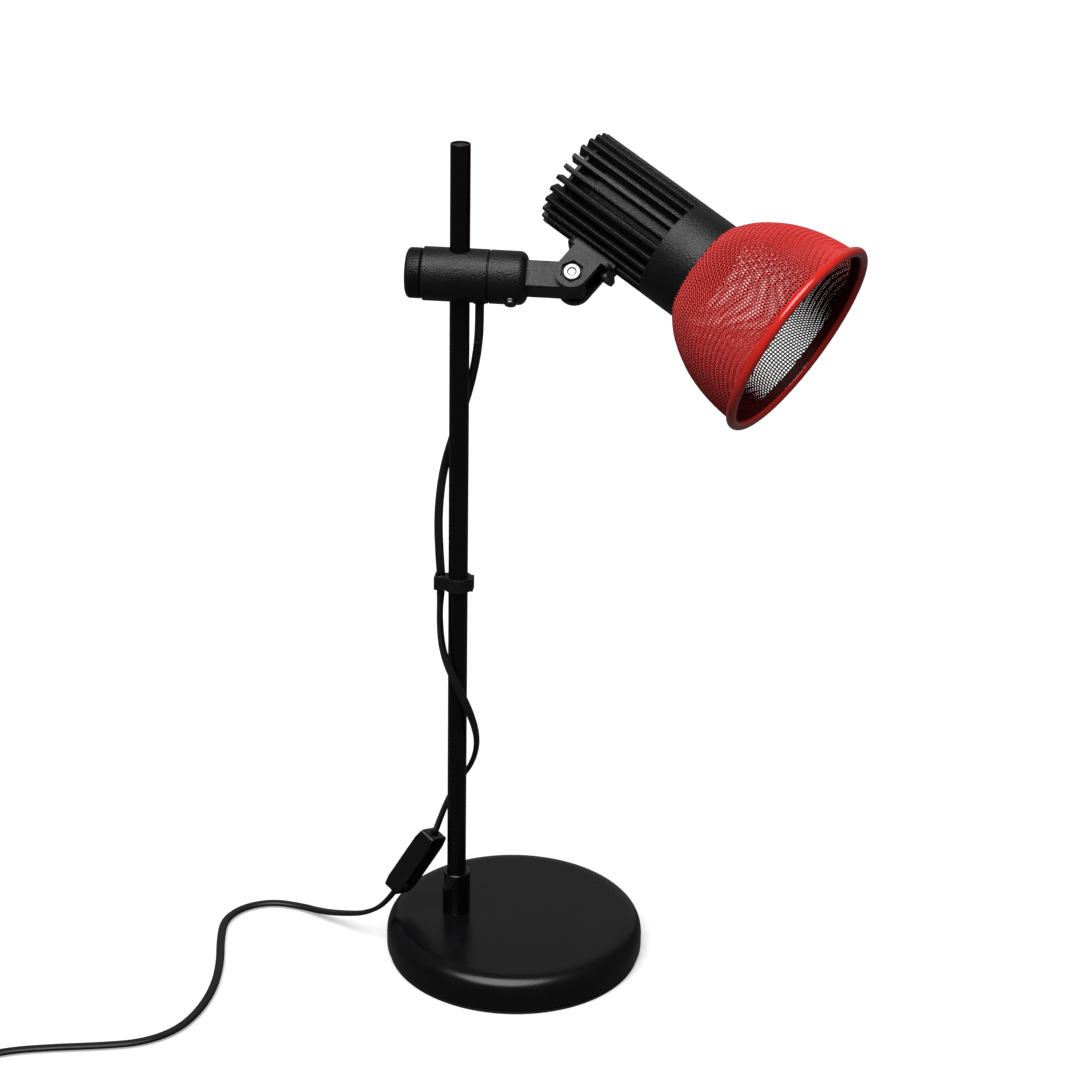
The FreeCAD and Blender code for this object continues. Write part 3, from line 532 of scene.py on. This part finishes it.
def next_knot(one, two, corner):
    """Spot one wire spacing away from both neighbours, across from the corner."""
    spot = np.array(one) + two - corner
    here_one, here_two = on_dome(one), on_dome(two)
    for _ in range(12):
        here = on_dome(spot)
        miss = np.array((np.dot(here - here_one, here - here_one), np.dot(here - here_two, here - here_two)))
        miss -= pitch ** 2
        if np.abs(miss).max() < 1e-5:
            return spot
        step_x = (on_dome(spot + (0.001, 0)) - here) / 0.001
        step_y = (on_dome(spot + (0, 0.001)) - here) / 0.001
        slope = 2 * np.array([[np.dot(here - near, step) for step in (step_x, step_y)]
                              for near in (here_one, here_two)])
        spot = spot - np.clip(np.linalg.solve(slope, miss), -1, 1)
    return None


count = int((drawn[-1] - spare_cloth) / pitch)
knots = {}
for k in range(count + 1):
    knots[k, 0] = np.array((k * pitch, 0.0))
    knots[0, k] = np.array((0.0, k * pitch))
for i in range(1, count + 1):
    for j in range(1, count + 1):
        if (i - 1, j) in knots and (i, j - 1) in knots:
            spot = next_knot(knots[i - 1, j], knots[i, j - 1], knots[i - 1, j - 1])
            if spot is not None and math.hypot(*spot) < drawn[-1] - 2:
                knots[i, j] = spot


def knot_place(i, j, side):
    """Place of a wire at a crossing: above or below the cloth's middle by turns."""
    spot = knots[abs(i), abs(j)] * (math.copysign(1, i), math.copysign(1, j))
    here = on_dome(spot)
    far = math.hypot(*spot)
    ahead = on_dome(spot * (1 + 0.01 / max(far, 1e-9))) - here
    lean = math.hypot(ahead[1], ahead[2])
    out = np.array((-lean, ahead[0] * spot[0] / max(far, 1e-9), ahead[0] * spot[1] / max(far, 1e-9)))
    out /= max(np.linalg.norm(out), 1e-12)
    return here + out * weave * side * (-1) ** (i + j), out


six_ways = [(math.cos(math.radians(60 * k)), math.sin(math.radians(60 * k))) for k in range(6)]


def wires(name, across):
    """All the wires of the cloth that run one way; their sides facing the dome's middle get the second
    material, painted shade.
    """
    corners, faces, shaded_sides = [], [], []
    for i in range(-count, count + 1):
        run = []
        for j in range(-count, count + 2):
            inside = j <= count and (abs(i), abs(j)) in knots
            if inside:
                here, out = knot_place(*((i, j) if across else (j, i)), 1 if across else -1)
            if inside and cloth_start - pitch < here[0] < cloth_end + pitch:
                run.append((here, out))
                continue
            if len(run) > 2:
                for end, neighbour in ((0, 1), (-1, -2)):
                    last, before = run[end][0], run[neighbour][0]
                    limit = min(max(last[0], cloth_start), cloth_end)
                    if abs(last[0] - before[0]) > 0.01:
                        share = (limit - before[0]) / (last[0] - before[0])
                        run[end] = (before + (last - before) * min(max(share, 0.05), 1.0), run[end][1])
                first = len(corners)
                for n, (here, out) in enumerate(run):
                    ahead = run[min(n + 1, len(run) - 1)][0] - run[max(n - 1, 0)][0]
                    ahead /= np.linalg.norm(ahead)
                    side = np.cross(ahead, out)
                    side /= np.linalg.norm(side)
                    rise = np.cross(side, ahead)
                    for c, s in six_ways:
                        corners.append((here + (rise * c + side * s) * wire_radius) * mm)
                for n in range(len(run) - 1):
                    for k in range(6):
                        a, b = first + 6 * n + k, first + 6 * n + (k + 1) % 6
                        faces.append((a, b, b + 6, a + 6))
                        shaded_sides.append(int(k in (2, 3)))
                faces.append(tuple(range(first + 5, first - 1, -1)))
                faces.append(tuple(range(len(corners) - 6, len(corners))))
                shaded_sides += [0, 0]
            run = []
    data = bpy.data.meshes.new(name)
    data.from_pydata([tuple(c) for c in corners], [], faces)
    data.transform(at_neck)
    data.shade_smooth()
    return placed(name, data), shaded_sides


wire_red = coated("wire_enamel", (0.64, 0.019, 0.018), (0.74, 0.028, 0.025),
                  0.26, 0.08, 0.8, 0.02, IOR=1.5)
# The sides of the wires that face the dome's middle are near black: painted shade, for the little light
# inside the dome.
wire_painted_shade = coated("wire_inside_painted_shade", (0.004, 0.0015, 0.0015), (0.008, 0.003, 0.003),
                    0.7, 0.08, 0.8, 0.02, Specular_IOR_Level=0.1)
for name, across in (("shade_warp", True), ("shade_weft", False)):
    cloth, shaded_sides = wires(name, across)
    mesh = bmesh.new()
    mesh.from_mesh(cloth.data)
    bmesh.ops.recalc_face_normals(mesh, faces=mesh.faces)
    mesh.to_mesh(cloth.data)
    mesh.free()
    fitted(cloth, wire_red, "head", "shade_mesh")
    cloth.data.materials.append(wire_painted_shade)
    cloth.data.polygons.foreach_set("material_index", shaded_sides)
coloured(moulding, "shade_collar")
rim_red = coated("rim_enamel", (0.78, 0.020, 0.013), (0.84, 0.027, 0.018), 0.14, 0.05, 2.5, 0.01,
                 Coat_Weight=0.5, Coat_Roughness=0.06)
bead_along, bead_out, bead_radius = 67, 61, 3
bead = [Vector((bead_along + bead_radius * math.cos(math.radians(15 * k)),
                bead_out + bead_radius * math.sin(math.radians(15 * k)))) for k in range(24)]
fitted(turned("rolled_rim", bead, at_neck, 192), rim_red, "head", "shade_rim")
# The skirt is the rim's red enamel made much darker: painted shade inside the rim.
skirt_painted_shade = coated("skirt_enamel_painted_shade", (0.060, 0.004, 0.004), (0.085, 0.006, 0.005), 0.5, 0.05, 2.5, 0.01,
                   Specular_IOR_Level=0.15)
skirt_edge, skirt_inner, skirt_outer = 61.5, 57.3, 58.7
skirt = turned("rim_skirt", eased([(skirt_edge, skirt_inner, 0.3), (skirt_edge, skirt_outer, 0.3),
                                   (bead_along, skirt_outer), (bead_along, skirt_inner)]), at_neck, 192)
fitted(skirt, skirt_painted_shade, "head", "shade_rim")

# ---------------------------------------------------------------------------------------------
# Mains cord: flat black twin cord, 5.4 mm wide and 3 mm thick, moulded in soft plastic round its
# two cores. It leaves the clamp, passes its clip on the pole and its switch, and ends in a coil.
cord_width = 0.0054
cord_thick = 0.0030
cord_skin = coated("cord_plastic", (0.005, 0.005, 0.006), (0.011, 0.011, 0.012), 0.34, 0.12, 0.7, 0.02)


def route_line(route):
    """The smooth line that the cord takes: points of a curve guided by the route."""
    curve = bpy.data.curves.new("route", "CURVE")
    curve.dimensions = "3D"
    curve.resolution_u = 12
    spline = curve.splines.new("NURBS")
    spline.points.add(len(route) - 1)
    for point, place in zip(spline.points, route):
        point.co = (*place, 1.0)
    spline.order_u = 3
    spline.use_endpoint_u = True
    holder = bpy.data.objects.new("route", curve)
    line = [v.co.copy() for v in bpy.data.meshes.new_from_object(holder).vertices]
    bpy.data.objects.remove(holder)
    return line


def line_length(line):
    return sum((b - a).length for a, b in zip(line, line[1:]))


def wide_side(way, ahead, last):
    """The way the cord's wide side runs, square to the line; no way given means lying flat."""
    found = Vector(way) if way else ahead.cross(Vector((0, 0, 1)))
    found = (found - ahead * found.dot(ahead)).normalized()
    return -found if last and found.dot(last) < 0 else found


def flat_cord(name, line, faces):
    """Flat cord along a line; faces gives, by share of the length, the way its wide side runs."""
    total = line_length(line)
    half_flat = (cord_width - cord_thick) / 2
    side = cord_thick / 2
    outline = []
    for sign in (1, -1):
        for k in range(7):
            angle = math.radians(-90 + 30 * k)
            outline.append((sign * (half_flat + side * math.cos(angle)), sign * side * math.sin(angle)))
        outline.append((0.0, sign * side * 0.86))
    mesh = bmesh.new()
    rings = []
    gone = 0.0
    wide = None
    for k, place in enumerate(line):
        ahead = (line[min(k + 1, len(line) - 1)] - line[max(k - 1, 0)]).normalized()
        gone += (place - line[k - 1]).length if k else 0.0
        share = gone / total
        later = next((n for n, (at, way) in enumerate(faces) if at >= share), len(faces) - 1)
        at1, way1 = faces[later]
        at0, way0 = faces[max(later - 1, 0)]
        mix = 1.0 if at1 <= at0 else min(max((share - at0) / (at1 - at0), 0.0), 1.0)
        way = wide_side(way0, ahead, wide).lerp(wide_side(way1, ahead, wide), mix * mix * (3 - 2 * mix))
        wide = wide_side(way, ahead, wide)
        thin = ahead.cross(wide)
        rings.append([mesh.verts.new(place + wide * a + thin * b) for a, b in outline])
    count = len(outline)
    for one, two in zip(rings, rings[1:]):
        for k in range(count):
            mesh.faces.new((one[k], one[(k + 1) % count], two[(k + 1) % count], two[k]))
    mesh.faces.new(rings[0])
    mesh.faces.new(rings[-1])
    bmesh.ops.recalc_face_normals(mesh, faces=mesh.faces)
    data = bpy.data.meshes.new(name)
    mesh.to_mesh(data)
    mesh.free()
    data.shade_smooth()
    data.materials.append(cord_skin)
    return placed(name, data)


hung_route = [(-0.0261, 0.0, 0.4398), (-0.0262, 0.0005, 0.4278), (-0.0267, 0.0012, 0.4158),
              (-0.0292, 0.0056, 0.399), (-0.0345, 0.0106, 0.376), (-0.0425, 0.0112, 0.352),
              (-0.0484, 0.0076, 0.330), (-0.0506, 0.0024, 0.307), (-0.0502, -0.0004, 0.284),
              (-0.0486, 0.0, 0.2617)]
hung_line = route_line(hung_route)
cut = next(k for k, place in enumerate(hung_line) if place.z < 0.4158)
cord_lead = flat_cord("cord_lead", hung_line[:cut + 1], [(0, (1, 0.2, 0)), (1, (1, 0.2, 0))])
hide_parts("cord_top")
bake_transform(cord_lead)
cord_hung = flat_cord("cord_hung", hung_line[cut:],
                      [(0, (1, 0.2, 0)), (0.4, (1, 0.5, 0)), (1, (1, 0.2, 0))])
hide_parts("cord_upper")
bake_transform(cord_hung)
line_length(hung_line[cut:])

lower_route = [(-0.0486, 0.0, 0.2617), (-0.0486, 0.0002, 0.2533), (-0.0494, -0.0016, 0.231),
               (-0.0460, -0.0086, 0.211), (-0.0356, -0.0120, 0.190), (-0.0272, -0.0080, 0.168),
               (-0.0250, 0.0014, 0.147), (-0.0294, 0.0100, 0.127), (-0.0388, 0.0124, 0.1118),
               (-0.0466, 0.0086, 0.0969), (-0.0524, 0.0010, 0.0788)]
lower_line = route_line(lower_route)
cord_low = flat_cord("cord_low", lower_line, [(0, (1, 0.2, 0)), (0.12, (0.3, 1, 0)), (0.4, (1, 1, 0)),
                                              (0.6, (0.2, 1, 0)), (1, (-0.370, -0.858, 0.357))])
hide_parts("cord_lower")
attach(cord_low, "stand")
line_length(lower_line)

tail_route = [(-0.0763, -0.0050, 0.0396), (-0.0835, -0.0066, 0.0279), (-0.0970, -0.0032, 0.0180),
              (-0.113, 0.006, 0.0110), (-0.129, 0.015, 0.0056), (-0.145, 0.0245, 0.00275),
              (-0.1648, 0.0273, 0.00275), (-0.1826, 0.0182, 0.00275), (-0.192, 0.0006, 0.00275),
              (-0.1888, -0.0252, 0.00275), (-0.1835, -0.050, 0.00275), (-0.181, -0.078, 0.00275),
              (-0.184, -0.106, 0.00275), (-0.193, -0.130, 0.00275), (-0.211, -0.146, 0.00275),
              (-0.236, -0.153, 0.00275), (-0.263, -0.1585, 0.00275), (-0.291, -0.166, 0.00275),
              (-0.313, -0.180, 0.00275)]
coil_x, coil_y = -0.352, -0.186
coil_steps = 59
for k in range(coil_steps):
    share = k / (coil_steps - 1)
    angle = math.radians(-25 - 30 * k)
    away = 0.0272 + 0.0144 * abs(share - 0.5)
    climb = min(max((share - 0.48) / 0.05, 0.0), 1.0)
    tail_route.append((coil_x + away * math.cos(angle), coil_y + away * math.sin(angle),
                       0.0038 + 0.0056 * climb))
tail_route += [(-0.3195, -0.2040, 0.0092), (-0.3215, -0.2220, 0.0080), (-0.3185, -0.2380, 0.0068)]
tail_line = route_line(tail_route)
cord_free = flat_cord("cord_free", tail_line, [(0, (-0.370, -0.858, 0.357)), (0.05, None), (0.31, None),
                                               (0.36, (0, 0, 1)), (1, (0, 0, 1))])
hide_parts("cord_tail", "cord_coil", "cord_end")
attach(cord_free, "stand")
line_length(tail_line)

# ---------------------------------------------------------------------------------------------
# Switch: two black half shells screwed together round the cord, with a glossy rocker that turns
# on two small pivots. Its ends are open where the cord goes in.
case_black = coated("switch_case", (0.0030, 0.0030, 0.0038), (0.0062, 0.0062, 0.0070),
                    0.28, 0.08, 0.7, 0.04, Specular_IOR_Level=0.35)
fitted(softened("switch_cover", 0.6), case_black, "stand", "switch_cover")
fitted(softened("switch_body", 0.6), case_black, "stand", "switch_body")
rocker_gloss = coated("rocker_gloss", (0.008, 0.008, 0.008), (0.012, 0.012, 0.012), 0.16, 0.05, 0.8, 0.01)
fitted(softened("switch_rocker", 0.35), rocker_gloss, "rocker", "switch_rocker")
coloured(zinc, "switch_screw")

# ---------------------------------------------------------------------------------------------
# Plug: black moulded two-pin plug with a tapered boot, and the tie round the coil.
fitted(softened("plug_body", 0.5), case_black, "stand", "plug_body")
fitted(softened("plug_boot", 0.3), gland_black, "stand", "plug_boot")
coloured(turned_steel("pin_brass", (0.75, 0.70, 0.55), 0.2), "plug_pins")
tie_plastic = coated("tie_plastic", (0.015, 0.015, 0.015), (0.025, 0.025, 0.025), 0.4, 0.1, 0.6, 0.02)
coloured(tie_plastic, "coil_tie")

# ---------------------------------------------------------------------------------------------
# Floor and light: a plain white surface under a large soft light from above and in front, and a
# faint one from behind.
bpy.ops.object.select_all(action="DESELECT")
bpy.ops.mesh.primitive_plane_add(size=12.0, location=(0, 0, 0))
floor = bpy.context.object
floor.name = "floor"
floor_white = Finish("floor_white", Roughness=0.9, Base_Color=(0.8, 0.8, 0.8),
                     Emission_Strength=0.36, Emission_Color=(1.0, 1.0, 1.0))
floor.data.materials.append(floor_white.material)
floor.visible_glossy = False
floor.visible_diffuse = False
world = bpy.data.worlds.new("studio")
world.use_nodes = True
world.node_tree.nodes["Background"].inputs["Color"].default_value = (1.0, 1.0, 1.0, 1.0)
world.node_tree.nodes["Background"].inputs["Strength"].default_value = 0.075
bpy.context.scene.world = world
for name, strength, spread, tip, turn in (("ceiling", 3.2, 52, 25, -5), ("back_wall", 0.12, 60, -66, 0)):
    sun = bpy.data.lights.new(name, "SUN")
    sun.energy = strength
    sun.angle = math.radians(spread)
    placed(name, sun).rotation_euler = (math.radians(tip), math.radians(turn), 0)
bpy.context.scene.view_settings.view_transform = "Standard"
